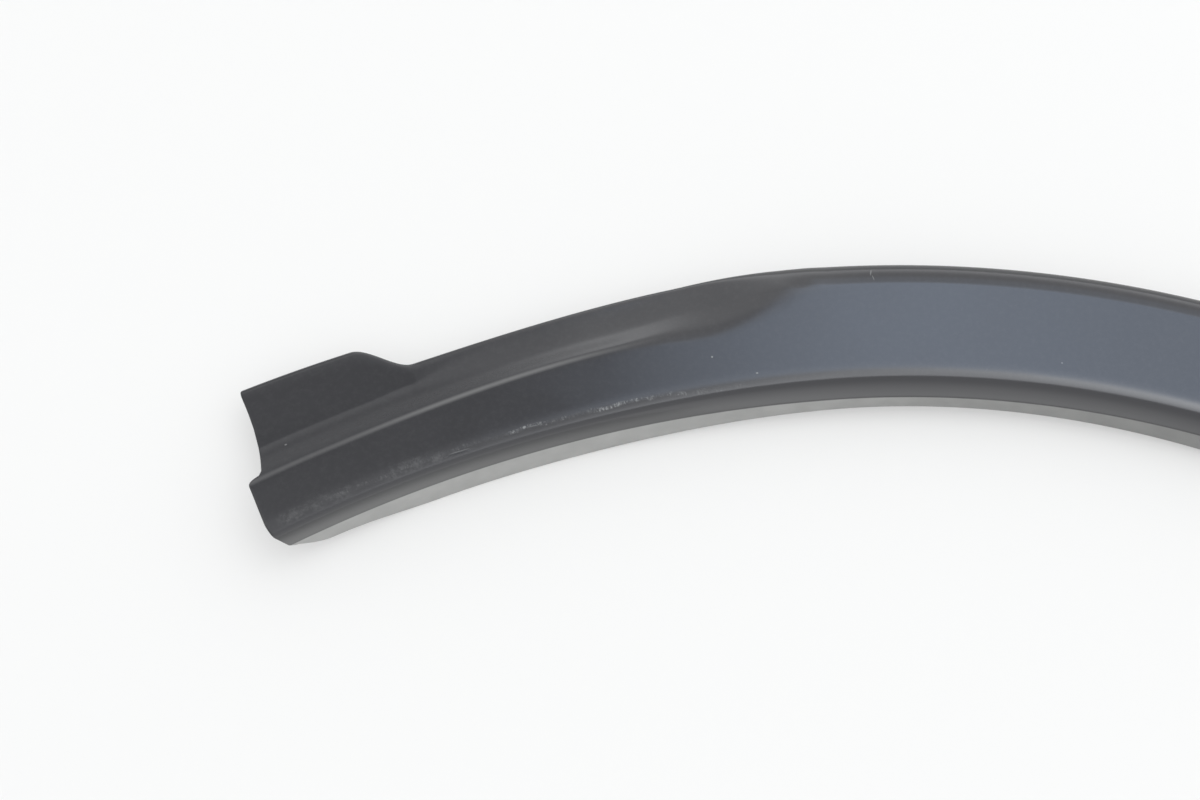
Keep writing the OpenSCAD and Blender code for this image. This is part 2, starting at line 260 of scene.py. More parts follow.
class StudioLight(bpy.types.PropertyGroup):
    """Strengths of the light in the studio, where a strength of 1 is white"""
    room: strength("Room", 1.25, "Light from the plain room all round")
    stretch: strength("Dark stretch", 0.76, "What the dark stretch of ceiling beyond the trim takes away")
    pane: strength("Window, left", 1.4, "Light from the left part of the window")
    pane_middle: strength("Window, middle", 1.45, "What the middle of the window adds to that")
    pane_right: strength("Window, right", 0.5, "What the right part of the window takes away again")
    lamp: strength("Lamp", 6.5, "Light from the lamp above the trim's right half")
    corner: strength("Corner", 0.65, "What the room's dark left side takes away")
    wall: strength("Far wall", 0.4, "What the far wall adds")
    overhead: strength("Overhead light", 0.35, "Light from the softbox")
    board: strength("Board", 0.42, "Light from the board itself, as the camera sees it")
    board_gloss: factor("Board in gloss", 0.1, "Share of the board's own light seen in the gloss")


def mix(a, b, share):
    return a + (b - a) * share


def clamp(number):
    return max(0.0, min(1.0, number))


def ease(share):
    return clamp(share) ** 2 * (3 - 2 * clamp(share))


def fall(s, start, end):
    """1 before the start, 0 after the end, and smooth between them."""
    return 1 - ease((s - start) / (end - start))


def line(start, end, count):
    """Points along a straight piece, without the first one."""
    return [start.lerp(end, i / count) for i in range(1, count + 1)]


def bezier(handles, count):
    """Points along a curve over its handles, without the first one."""
    points = []
    for i in range(1, count + 1):
        level = list(handles)
        while len(level) > 1:
            level = [a.lerp(b, i / count) for a, b in zip(level, level[1:])]
        points.append(level[0])
    return points


def falling(slope):
    """Direction outward and down a slope."""
    return Vector((math.cos(slope), -math.sin(slope)))


def foot(centre, u):
    """A quarter of the round edge of a wall, from under its centre to its side at an offset."""
    return [centre + Vector(((u - centre.x) * math.sin(a), -abs(u - centre.x) * math.cos(a)))
            for a in FOOT_ANGLES]


class Strip:
    """The trim's path in plan and its section at each station, in metres. A station s is a length along the
    lip from the left end, and an offset u is a distance outward from the lip, away from the wheel."""

    def __init__(self, size):
        self.size = size
        self.left_length = size.left_radius * (size.left_angle - size.join_angle)
        self.length = self.left_length + size.wheel_radius * (size.right_angle + size.join_angle)
        self.crest = self.left_length + size.wheel_radius * size.join_angle
        self.lip_start = size.lip_setback + size.flange_depth / 2
        self.lip_start_height = size.lip_top - size.lip_wall - size.lip_end_drop
        self.shift = Vector((0, 0))

    def heading(self, s):
        """Angle of the lip's tangent, from the crest's, negative at the left."""
        if s < self.left_length:
            return s / self.size.left_radius - self.size.left_angle
        return (s - self.left_length) / self.size.wheel_radius - self.size.join_angle

    def plan(self, s, u):
        """Place in plan of a station and an offset outward from the lip."""
        size, a = self.size, self.heading(s)
        out = Vector((math.sin(a), math.cos(a)))
        if s >= self.left_length:
            return out * (size.wheel_radius + u) + self.shift
        to_centre = Vector((math.sin(size.join_angle), -math.cos(size.join_angle)))
        return to_centre * (size.left_radius - size.wheel_radius) + out * (size.left_radius + u) + self.shift

    def place(self, s, u):
        """Matrix that puts a piece at a station and an offset, turned along the lip."""
        x, y = self.plan(s, u)
        return Matrix.Translation((x, y, 0)) @ Matrix.Rotation(-self.heading(s), 4, "Z")

    def recess(self, s):
        return fall(s, self.size.fade_start, self.size.fade_end)

    def band(self, s):
        size = self.size
        return mix(size.band_right, size.band_left, fall(s, BAND_FADE * size.fade_start, size.fade_end))

    def shoulder(self, s):
        size = self.size
        left = mix(size.ridge_width_fade, size.ridge_width, fall(s, size.ridge_drift, size.fade_start))
        return mix(size.arch_width - size.roll_width - size.roll_gap, left, self.recess(s))

    def outer(self, s):
        size, step_end = self.size, self.size.tab_end + self.size.tab_step
        edge = mix(size.arch_width, size.flange_width, fall(s, step_end, size.fade_end))
        tab = size.tab_width - size.flange_width + size.tab_taper * (1 - min(1, s / size.tab_end))
        return edge + tab * fall(s, size.tab_end, step_end)

    def lip_bottom(self, s):
        size, start = self.size, self.lip_start
        swept = math.sin(math.pi / 2 * clamp((s - start) / size.lip_sweep))
        near_end = mix(self.lip_start_height, size.sweep_relief, swept)
        away = s - self.crest
        away = min(1, -away / size.relief_left if away < 0 else away / size.relief_right)
        crest = size.crest_relief * math.cos(math.pi / 2 * away) ** 2
        return near_end * fall(s, start + size.lip_sweep, start + SWEEP_TAIL * size.lip_sweep) + crest

    def skin(self, s, inset):
        """One skin of the section as (offset, height) points: from the middle of the lip's foot, up the
        lip, over the face and round the outer edge to the middle of its foot. An inset of 0 gives the
        visible skin."""
        size, recess = self.size, self.recess(s)
        # The lip meets the band at the knee
        rise, run = size.face_height - size.lip_top, self.band(s)
        up_band = Vector((run, rise)).normalized()
        lip_u = size.lip_wall * inset / size.wall
        knee = Vector((lip_u, size.lip_top + (lip_u * rise - inset * math.hypot(run, rise)) / run))
        face = size.face_height - inset
        edge = Vector((knee.x + (face - knee.y) * run / rise, face))
        knee_low, knee_high = knee - Vector((0, size.knee_rounding)), knee + up_band * size.knee_rounding
        edge_start, edge_end = edge - up_band * BAND_SHARE * size.edge_run, edge + Vector((size.edge_run, 0))
        # The face bends down to the ridge
        slope = size.cove_slope * fall(s, RIDGE_FADE * size.fade_start, size.fade_end)
        sharp = fall(s, RIDGE_FADE * size.fade_start, size.fade_start)
        soft = mix(size.ridge_rounding_fade, size.ridge_rounding, sharp) * min(1, slope / SOFT_SLOPE)
        soft = max(soft, size.least_rounding)
        ridge = Vector((self.shoulder(s) - inset * math.tan(slope / 2), face))
        ridge_in, ridge_out = ridge - Vector((max(soft, size.ridge_lead), 0)), ridge + soft * falling(slope)
        # The cove falls from the ridge and runs out level at the flange
        wide = mix(size.roll_width, size.rim_radius, recess)
        high = mix(size.roll_height, size.rim_radius, recess)
        depth = size.flange_depth * fall(s, size.fade_start - size.fade_lead, size.fade_end - size.fade_lead)
        flange = Vector((self.outer(s) - wide, face - depth))
        level = min((flange.x - ridge_out.x) / 2, (ridge_out.y - flange.y) / max(math.tan(slope), 0.01))
        handle = ridge_out + level * Vector((1, -math.tan(slope)))
        turn = ridge_out.lerp(handle, COVE_STRAIGHT)
        tab_like = fall(s, size.tab_end, 2 * size.tab_end - size.tab_step / 2)
        cove_end = handle.lerp(flange, mix(TAIL_PLAIN, TAIL_TAB, tab_like))
        # The outer edge rolls over to a wall that drops straight down
        end_slope = math.atan2(handle.y - flange.y, flange.x - handle.x)
        wide, high = wide - inset, high - inset
        side = Vector((self.outer(s) - inset, flange.y - high))
        over, down = flange + QUARTER * wide * falling(end_slope), side + Vector((0, QUARTER * high))
        lip_foot = Vector((size.lip_wall / 2, self.lip_bottom(s) + size.lip_wall / 2))
        wall_foot = mix(0, size.face_height - size.flange_depth - size.flange_rim, recess)
        outer_foot = Vector((self.outer(s) - size.wall / 2, wall_foot + size.wall / 2))
        return (
            foot(lip_foot, lip_u) + line(Vector((lip_u, lip_foot.y)), knee_low, LIP_POINTS)
            + bezier([knee_low, knee, knee_high], KNEE_POINTS) + line(knee_high, edge_start, BAND_POINTS)
            + bezier([edge_start, edge, edge_end], EDGE_POINTS) + line(edge_end, ridge_in, FACE_POINTS)
            + bezier([ridge_in, ridge, ridge_out], RIDGE_POINTS) + line(ridge_out, turn, SLOPE_POINTS)
            + bezier([turn, handle, cove_end], COVE_POINTS) + line(cove_end, flange, FLANGE_POINTS)
            + bezier([flange, over, down, side], ROLL_POINTS)
            + line(side, Vector((side.x, outer_foot.y)), WALL_POINTS) + foot(outer_foot, side.x)[-2::-1])

    def line_start(self, point):
        """Station where a line of the strip starts, from its place in the section."""
        size, (u, height) = self.size, point
        low = size.band_left + size.edge_run / 2
        if u < low:
            down_band = clamp((size.face_height - height) / (size.face_height - size.lip_top))
            down_lip = clamp((size.lip_top - height) / (size.lip_top - self.lip_start_height))
            return mix(size.lip_setback * down_band, self.lip_start, down_lip)
        across = u - size.ridge_width
        hollow = math.sin(math.pi * clamp(across / (size.tab_width - size.ridge_width)))
        flange = size.flange_setback + size.flange_skew * across + size.flange_bow * hollow
        corner = size.corner * (1 - math.sqrt(1 - (1 - clamp((self.outer(0) - u) / size.corner)) ** 2))
        ramp = clamp((across + size.end_ramp_before) / size.end_ramp) ** RAMP_POWER
        return mix(size.face_skew * (u - low), flange, ramp) + corner

    def starts(self):
        """Starts of the lines of a skin. The outer wall and its foot start where the roll ends."""
        found = [self.line_start(p) for p in self.skin(0, 0)]
        return found[:-OUTER_WALL_LINES] + [found[-OUTER_WALL_LINES - 1]] * OUTER_WALL_LINES

    def stations(self):
        """Stations and insets from the left end to the right, closer together where the shape changes. The
        wall's two skins meet at both ends, where the edges of the cut are rounded."""
        radius = self.size.cut_round
        rounded = [(0.0, self.size.wall / 2)] + [
            (radius * (1 - math.cos(a)), radius * (1 - math.sin(a))) for a in CUT_ANGLES]
        found, s = [], 2 * radius
        while s < self.length - 2 * radius:
            found.append((s, 0.0))
            s += END_STEP if s < END_STEP_LAST else RECESS_STEP if s < RECESS_STEP_LAST else PLAIN_STEP
        return rounded + found + [(self.length - s, inset) for s, inset in reversed(rounded)]


def add_node(tree, kind, inputs=None, **settings):
    """A node with its settings, and its inputs set to values or linked to sockets."""
    node = tree.nodes.new(kind)
    for name, value in settings.items():
        setattr(node, name, value)
    for name, value in (inputs or {}).items():
        if isinstance(value, bpy.types.NodeSocket):
            tree.links.new(value, node.inputs[name])
        else:
            node.inputs[name].default_value = value
    return node


def new_material(name):
    """An empty node material with a Principled shader, as (material, tree, shader)."""
    material = bpy.data.materials.new(name)
    material.use_nodes = True
    tree = material.node_tree
    return material, tree, tree.nodes["Principled BSDF"]


class Numbers:
    """Nodes of one tree that work out numbers. Each method gives the socket with its result."""

    def __init__(self, tree):
        self.tree = tree

    def math(self, operation, a, b=0.0):
        return add_node(self.tree, "ShaderNodeMath", {0: a, 1: b}, operation=operation).outputs[0]

    def total(self, first, *others):
        for other in others:
            first = self.math("ADD", first, other)
        return first

    def product(self, first, *others):
        for other in others:
            first = self.math("MULTIPLY", first, other)
        return first

    def ramp(self, source, low, high, to_low=0.0, to_high=1.0):
        """Goes smoothly from one value to the other while the source goes from low to high."""
        return add_node(self.tree, "ShaderNodeMapRange", {
            "Value": source, "From Min": low, "From Max": high, "To Min": to_low, "To Max": to_high},
            interpolation_type="SMOOTHSTEP").outputs[0]

    def window(self, source, low, high, soft):
        """1 between two values, and fading out on both sides of them."""
        return self.product(self.ramp(source, low - soft, low), self.ramp(source, high + soft, high))

    def noise(self, source, millimetres, detail=2.0, roughness=0.5):
        """Noise whose patches have about this width."""
        return add_node(self.tree, "ShaderNodeTexNoise", {
            "Vector": source, "Scale": 1 / (millimetres * MM), "Detail": detail,
            "Roughness": roughness}).outputs[0]

    def blend(self, amount, a, b):
        """One colour mixed into another."""
        return add_node(self.tree, "ShaderNodeMix", {0: amount, 6: a, 7: b}, data_type="RGBA").outputs[2]

    def scaled(self, triple, amount):
        """Three numbers times one."""
        return add_node(
            self.tree, "ShaderNodeVectorMath", {0: triple, "Scale": amount}, operation="SCALE").outputs[0]

    def bump(self, shader, height, amount, depth):
        """Gives a shader a bump with a depth at full strength."""
        normal = add_node(
            self.tree, "ShaderNodeBump", {"Strength": amount, "Distance": depth, "Height": height}).outputs[0]
        self.tree.links.new(normal, shader.inputs["Normal"])


class SkinNumbers(Numbers):
    """Numbers that follow from where a point lies on the visible skin."""

    def __init__(self, tree):
        super().__init__(tree)
        self.strip = add_node(tree, "ShaderNodeUVMap", uv_map="strip").outputs[0]
        ridge = add_node(tree, "ShaderNodeUVMap", uv_map="ridge").outputs[0]
        self.station, self.across = add_node(tree, "ShaderNodeSeparateXYZ", {0: self.strip}).outputs[:2]
        self.from_ridge = add_node(tree, "ShaderNodeSeparateXYZ", {0: ridge}).outputs[1]
        self.thing = add_node(tree, "ShaderNodeTexCoord").outputs["Object"]

    def mark(self, station, across, long, wide, degrees):
        """1 inside a small ellipse. The place and the size are in millimetres."""
        inside = add_node(self.tree, "ShaderNodeMapping", {
            0: self.strip, "Location": (station * MM, across * MM, 0),
            "Rotation": (0, 0, math.radians(degrees)), "Scale": (long * MM, wide * MM, 1)},
            vector_type="TEXTURE").outputs[0]
        away = add_node(self.tree, "ShaderNodeVectorMath", {0: inside}, operation="LENGTH").outputs["Value"]
        return self.ramp(away, 1.0, 0.4)


def film_and_highlight_amount(nodes, finish, size):
    """How much of the skin's colour is pale: chalky film, dust, a painted highlight along the ridge and a
    paler stretch beyond it.
    """
    # It lies on the lip, thick at the left and thinner round the wheel, in faint clouds 9 mm wide
    lip = nodes.product(
        nodes.ramp(nodes.across, 0.1 * MM, -0.9 * MM),
        nodes.ramp(nodes.station, 60 * MM, 600 * MM, finish.lip_film, finish.lip_film * finish.lip_film_far),
        nodes.ramp(nodes.station, 240 * MM, 320 * MM, 1.0, 0.88),
        nodes.ramp(nodes.noise(nodes.thing, 9, 4), 0.25, 0.8, 0.9, 1.04))
    # It thins out up the band, whose length across the skin is about a tenth more than its height
    slant = 1.1 * (size.face_height - size.lip_top)
    band = nodes.product(
        nodes.ramp(nodes.across, -0.6 * MM, 0.3 * MM),
        nodes.ramp(nodes.across, slant + 0.5 * MM, 0.5 * MM, finish.face_film),
        nodes.ramp(nodes.station, 20 * MM, 300 * MM, finish.band_film, finish.band_film_far))
    # Fine dust lies on the face, in clouds 3 mm wide
    dust = nodes.product(
        nodes.ramp(nodes.noise(nodes.thing, 3, 6, 0.75), 0.4, 0.8, 0.0, finish.dust),
        nodes.ramp(nodes.across, slant, slant + 3 * MM))
    # The ridge carries a thin pale line, partly rubbed wear and partly a painted highlight, which fades out
    # where the recess does
    rubbed_and_highlit = nodes.product(
        nodes.ramp(nodes.math("ABSOLUTE", nodes.from_ridge), 1.9 * MM, 0.0),
        nodes.ramp(nodes.station, 190 * MM, 120 * MM, 0.0, finish.ridge_wear_and_highlight),
        nodes.ramp(nodes.station, 30 * MM, 100 * MM, 0.4, 1.0))
    # Beyond the ridge, where the recess fades, the colour is made a little paler
    paler_beyond = nodes.product(
        nodes.window(nodes.station, 160 * MM, 245 * MM, 30 * MM),
        nodes.ramp(nodes.from_ridge, 0.0, 4 * MM, 0.0, finish.fade_paling))
    return nodes.total(lip, band, dust, rubbed_and_highlit, paler_beyond)


def scuff_amount(nodes, finish):
    """How deep the scuffs are along the rounded lower edge of the face."""
    # A broken row of short strokes about 1 mm wide runs along the edge, and wanders by 2 mm to either side
    row = nodes.ramp(nodes.station, 175 * MM, 200 * MM, 12.4 * MM, 10.7 * MM)
    wander = nodes.product(nodes.math("SUBTRACT", nodes.noise(nodes.thing, 12, 3), 0.5), 4 * MM)
    off_row = nodes.math("ABSOLUTE", nodes.total(nodes.math("SUBTRACT", nodes.across, row), wander))
    drawn_out = add_node(
        nodes.tree, "ShaderNodeMapping", {0: nodes.strip, "Scale": (1.0, 0.4, 1.0)}).outputs[0]
    worst = nodes.total(
        nodes.window(nodes.station, 112 * MM, 178 * MM, 10 * MM),
        nodes.product(nodes.window(nodes.station, 30 * MM, 200 * MM, 20 * MM), 0.4))
    strokes = nodes.product(
        nodes.ramp(off_row, 1.3 * MM, 0.4 * MM),
        nodes.ramp(nodes.noise(drawn_out, 1.1, 6, 0.8), 0.42, 0.68),
        nodes.ramp(nodes.noise(nodes.thing, 5, 3, 0.7), 0.42, 0.62, 0.12, 1.0),
        worst, finish.strokes)
    # Two cloudy patches lie at the left, with grains of about 3 mm
    patches = nodes.total(
        nodes.window(nodes.station, 8 * MM, 36 * MM, 4 * MM),
        nodes.window(nodes.station, 56 * MM, 78 * MM, 5 * MM))
    clouds = nodes.product(
        patches,
        nodes.window(nodes.across, 11 * MM, 14 * MM, 2.5 * MM),
        nodes.ramp(nodes.noise(nodes.thing, 3.2, 4, 0.7), 0.4, 0.8, 0.0, finish.clouds))
    deepest = nodes.math("MAXIMUM", strokes, clouds)
    for *place, depth in MARKS:
        deepest = nodes.math("MAXIMUM", deepest, nodes.product(nodes.mark(*place), depth))
    return deepest


def visible_plastic(finish, size):
    """Polypropylene, injection-moulded against a fine satin-etched tool: a clear but soft reflection, with a
    chalky film where the lip's bare edge has weathered, whitish scuffs where the face was rubbed, and a
    painted highlight along the ridge."""
    material, tree, shader = new_material("polypropylene_moulded_satin")
    nodes = SkinNumbers(tree)
    film_and_highlight, scuffs = film_and_highlight_amount(nodes, finish, size), scuff_amount(nodes, finish)
    scratch = nodes.mark(*SCRATCH)
    pale = nodes.blend(film_and_highlight, finish.plastic, finish.film_and_highlight)
    scuffed = nodes.blend(scuffs, pale, finish.scuff)
    tree.links.new(nodes.blend(scratch, scuffed, finish.scratch), shader.inputs["Base Color"])
    # Film, the painted ridge highlight, scuffs and scratch are rougher than the plastic, which itself varies
    # over 30 mm
    haze = nodes.ramp(nodes.noise(nodes.thing, 30, 3), 0.3, 0.7, -0.015, 0.02)
    worn = nodes.product(nodes.total(film_and_highlight, scuffs, scratch), 0.5)
    tree.links.new(nodes.total(haze, finish.gloss, worn), shader.inputs["Roughness"])
    # The etched grain is about 0.2 mm wide, and is drawn at 0.5 mm so that it shows
    nodes.bump(shader, nodes.noise(nodes.thing, 0.5, 2, 0.6), 0.1, 0.05 * MM)
    shader.inputs["IOR"].default_value = PLASTIC_IOR
    return material


def hidden_plastic(finish):
    """The same polypropylene on the side that faces the car, duller, moulded against a machined core."""
    material, tree, shader = new_material("polypropylene_moulded_back")
    nodes = Numbers(tree)
    thing = add_node(tree, "ShaderNodeTexCoord").outputs["Object"]
    # Flow marks 30 mm apart, a quarter darker than the rest, and a machined grain about 0.8 mm wide
    flow = nodes.noise(thing, 30)
    dark = [0.75 * c for c in finish.plastic[:3]] + [1.0]
    tree.links.new(nodes.blend(flow, dark, finish.plastic), shader.inputs["Base Color"])
    dull = add_node(tree, "ShaderNodeMapRange", {"Value": flow, "To Min": 0.42, "To Max": 0.58})
    tree.links.new(dull.outputs[0], shader.inputs["Roughness"])
    nodes.bump(shader, nodes.noise(thing, 0.8, 3), 0.2, 0.1 * MM)
    shader.inputs["IOR"].default_value = PLASTIC_IOR
    return material


def deselect():
    for thing in bpy.context.selected_objects:
        thing.select_set(False)


def pick(thing):
    """Makes one object the active one and the only one selected."""
    deselect()
    thing.select_set(True)
    bpy.context.view_layer.objects.active = thing


def edit(thing, *steps):
    """Runs edit-mode operators on all of an object's mesh."""
    pick(thing)
    bpy.ops.object.mode_set(mode="EDIT")
    for operator, options in steps:
        bpy.ops.mesh.select_all(action="SELECT")
        operator(**options)
    bpy.ops.object.mode_set(mode="OBJECT")


def apply_modifier(thing, kind, **settings):
    pick(thing)
    modifier = thing.modifiers.new(kind.title(), kind)
    for name, value in settings.items():
        setattr(modifier, name, value)
    bpy.ops.object.modifier_apply(modifier=modifier.name)


def round_edges(thing, width, degrees):
    """Rounds the edges that are sharper than an angle."""
    apply_modifier(
        thing, "BEVEL", width=width, segments=2, limit_method="ANGLE", angle_limit=math.radians(degrees))


def add_box(low, high):
    """A box primitive between two corners, with its place in its mesh."""
    deselect()
    low, high = Vector(low), Vector(high)
    bpy.ops.mesh.primitive_cube_add(size=1, location=(low + high) / 2, scale=high - low)
    bpy.ops.object.transform_apply(location=True, rotation=True, scale=True)
    return bpy.context.object


def cut(thing, cutter):
    apply_modifier(thing, "BOOLEAN", object=cutter, operation="DIFFERENCE", solver="EXACT")
    bpy.data.objects.remove(cutter)


def repeat(thing, places, name):
    """Copies of a piece at several places, joined into one object at the origin."""
    copies = []
    for place in places:
        copy = bpy.data.objects.new(name, thing.data.copy())
        bpy.context.scene.collection.objects.link(copy)
        copy.data.transform(place)
        copies.append(copy)
    bpy.data.objects.remove(thing)
    deselect()
    for copy in copies:
        copy.select_set(True)
    bpy.context.view_layer.objects.active = copies[0]
    bpy.ops.object.join()
    copies[0].name = name
    return copies[0]


def finish_piece(thing, smooth_degrees):
    """Smooths a piece, gives it the back's plastic if it has none, parents it to the root body and hides the
    solid's node.
    """
    pick(thing)
    bpy.ops.object.shade_smooth_by_angle(angle=math.radians(smooth_degrees))
    if not thing.data.materials:
        thing.data.materials.append(bpy.data.materials["polypropylene_moulded_back"])
    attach(thing, "root")
    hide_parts(NODE)


def make_strip():
    """The strip in the part's frame: its box in plan lies over the origin, as the solid's does."""
    strip = Strip(bpy.context.scene.arch_trim_sizes)
    low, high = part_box(NODE)
    right_end = strip.plan(strip.length, strip.outer(strip.length))
    strip.shift = Vector((high.x - right_end.x, low.y - strip.plan(strip.length, 0).y))
    return strip


def skins_at(strip, station, inset, starts):
    """The station of each line in one column of the moulding, and its two skins there, the visible one
    first. The lines start at different stations at the left end, and come together at the end's reach."""
    def skins(at):
        return at, (strip.skin(at, inset), strip.skin(at, strip.size.wall - inset))

    reach = strip.size.end_reach
    if station >= reach:
        return [skins(station)] * len(starts)
    return [skins(station + start * (1 - station / reach)) for start in starts]


def tower_stations(strip, back):
    last = strip.length - back.last
    return [mix(back.first, last, i / (back.count - 1)) for i in range(back.count)]


def shape_moulding(mesh, strip):
    """Moves the points of a grid to the moulding. Every column of it is a station. The first half of its
    rows is the visible skin, from the lip to the outer edge, and the second half the hidden one, on the way
    back. Gives each point's station and its distance across the visible skin."""
    columns, starts = strip.stations(), strip.starts()
    count, lines = len(columns), 2 * len(starts)
    low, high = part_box(NODE)
    places = [None] * (count * lines)
    for i, (station, inset) in enumerate(columns):
        run, before = 0.0, None
        for j, (at, skins) in enumerate(skins_at(strip, station, inset, starts)):
            points = [skin[j] for skin in skins]
            run += (points[0] - before).length if before else 0.0
            before = points[0]
            for row, (u, height) in zip((j, lines - 1 - j), points):
                x, y = strip.plan(at, u)
                # Every point is kept inside the solid's box
                mesh.vertices[row * count + i].co = [
                    min(max(c, a), b) for c, a, b in zip((x, y, height), low, high)]
                places[row * count + i] = (at, run)
    return places


def map_moulding(mesh, places, count):
    """Two maps, each of the station and a distance across the skin: from the knee, and from the ridge."""
    mesh.uv_layers.active.name = "strip"
    mesh.uv_layers.new(name="ridge")
    for name, row in (("strip", KNEE_LINE), ("ridge", RIDGE_LINE)):
        layer = mesh.uv_layers[name]
        for loop in mesh.loops:
            at, run = places[loop.vertex_index]
            layer.data[loop.index].uv = (at, run - places[row * count + loop.vertex_index % count][1])


class ARCHTRIM_OT_moulding(bpy.types.Operator):
    """Model the moulded strip: lip, band, face, cove, flange, tab and outer roll"""
    bl_idname = "arch_trim.moulding"
    bl_label = "Moulding"

    def execute(self, context):
        strip = make_strip()
        count, lines = len(strip.stations()), len(strip.starts())
        deselect()
        bpy.ops.mesh.primitive_grid_add(x_subdivisions=count - 1, y_subdivisions=2 * lines - 1, size=1)
        shell = context.object
        shell.name = "moulding"
        mesh = shell.data
        if len(mesh.vertices) != count * 2 * lines:
            raise RuntimeError("the grid has the wrong number of points")
        map_moulding(mesh, shape_moulding(mesh, strip), count)
        for name in ("satin", "back"):
            mesh.materials.append(bpy.data.materials["polypropylene_moulded_" + name])
        for face in mesh.polygons:
            face.material_index = 1 if min(face.vertices) // count >= lines - 1 else 0
        edit(shell, (bpy.ops.mesh.remove_doubles, dict(threshold=JOIN_WITHIN)),
             (bpy.ops.mesh.normals_make_consistent, dict(inside=False)))
        finish_piece(shell, 40)
        return {"FINISHED"}


class ARCHTRIM_OT_clip_towers(bpy.types.Operator):
    """Model the clip towers on the back, each with a slot for a push-in clip"""
    bl_idname = "arch_trim.clip_towers"
    bl_label = "Clip towers"

    def execute(self, context):
        strip, back = make_strip(), context.scene.arch_trim_towers
        size = strip.size
        half, wide = back.long / 2, back.wide / 2
        bottom, past = back.plate_height, back.cut_past
        top = bottom + back.plate
        roof = size.face_height - size.wall
        tower = add_box((-half, -wide, bottom), (half, wide, roof + size.wall / 2))
        cut(tower, add_box(
            (back.wall - half, back.wall - wide, top), (half - back.wall, wide + past, roof + back.bite)))
        cut(tower, add_box(
            (-back.slot / 2, 0, bottom - past), (back.slot / 2, wide + past, top + past)))
        deselect()
        bpy.ops.mesh.primitive_cylinder_add(
            vertices=48, radius=back.slot / 2, depth=back.plate + 2 * past,
            location=(0, 0, (bottom + top) / 2))
        bpy.ops.object.transform_apply(location=True, rotation=True, scale=True)
        cut(tower, context.object)
        round_edges(tower, back.bevel, 50)
        places = [
            strip.place(s, (strip.band(s) + strip.shoulder(s)) / 2) for s in tower_stations(strip, back)]
        finish_piece(repeat(tower, places, "clip_towers"), 35)
        return {"FINISHED"}


class ARCHTRIM_OT_gussets(bpy.types.Operator):
    """Model the thin gussets that stiffen the corner behind the lip"""
    bl_idname = "arch_trim.gussets"
    bl_label = "Gussets"

    def execute(self, context):
        strip, back = make_strip(), context.scene.arch_trim_towers
        size = strip.size
        low, top = size.crest_relief + back.gusset_clear, size.face_height - size.wall / 2
        shoulder = top - size.wall / 2 - back.gusset_tip
        half = back.gusset_wall / 2
        gusset = add_box((-half, size.lip_wall / 2, low), (half, back.gusset_reach, top))
        # The free edge slopes from the lip's foot to the face, and the inner corner follows the band
        slope = Vector((0, back.gusset_reach - size.lip_wall - back.gusset_tip, shoulder - low)).normalized()
        band = Vector((0, size.band_right, size.face_height - size.lip_top)).normalized()
        for point, normal in (
                ((0, size.lip_wall + back.gusset_tip, low), (0, slope.z, -slope.y)),
                ((0, size.lip_wall / 2, size.lip_top - size.wall / 4), (0, -band.z, band.y))):
            edit(gusset, (bpy.ops.mesh.bisect, dict(
                plane_co=point, plane_no=normal, use_fill=True, clear_outer=True, threshold=BISECT_WITHIN)))
        round_edges(gusset, back.gusset_bevel, 40)
        stations = tower_stations(strip, back)
        places = [
            strip.place(mix(a, b, k / (back.gussets + 1)), 0)
            for a, b in zip(stations, stations[1:]) for k in range(1, back.gussets + 1)]
        finish_piece(repeat(gusset, places, "gussets"), 35)
        return {"FINISHED"}


class ARCHTRIM_OT_finish(bpy.types.Operator):
    """Make the plastic of the visible side and of the back"""
    bl_idname = "arch_trim.finish"
    bl_label = "Plastic"

    def execute(self, context):
        finish = context.scene.arch_trim_finish
        visible_plastic(finish, context.scene.arch_trim_sizes)
        hidden_plastic(finish)
        return {"FINISHED"}


def add_softbox(name, low, high, height, amount):
    """A soft light over a rectangle of the floor, facing down."""
    deselect()
    centre = ((low[0] + high[0]) / 2, (low[1] + high[1]) / 2, height)
    bpy.ops.object.light_add(type="AREA", location=centre)
    light = bpy.context.object
    light.name = name
    light.data.shape = "RECTANGLE"
    light.data.size, light.data.size_y = high[0] - low[0], high[1] - low[1]
    # Radiance of a one-sided area light is its power over area and pi
    light.data.energy = amount * math.pi * light.data.size * light.data.size_y
    light.visible_glossy = False


def make_floor(light):
    """The white board that the trim lies on, 16 m wide and 0.1 mm below the trim."""
    deselect()
    bpy.ops.mesh.primitive_plane_add(size=16, location=(0, 0, -0.1 * MM))
    bpy.ops.object.transform_apply(location=True, rotation=True, scale=True)
    floor = bpy.context.object
    floor.name = "floor"
    material, tree, shader = new_material("board_painted_white")
    shader.inputs["Roughness"].default_value = 0.75
    shader.inputs["Base Color"].default_value = linear("#AFAFAD")
    # About half of the board's white comes from here, which leaves its shadows as faint as in the photograph
    nodes = Numbers(tree)
    path = add_node(tree, "ShaderNodeLightPath").outputs
    in_gloss = nodes.product(path["Is Glossy Ray"], light.board_gloss)
    glow = nodes.product(nodes.math("MAXIMUM", path["Is Camera Ray"], in_gloss), light.board)
    shader.inputs["Emission Color"].default_value = (1, 1, 1, 1)
    tree.links.new(glow, shader.inputs["Emission Strength"])
    floor.data.materials.append(material)
    return floor


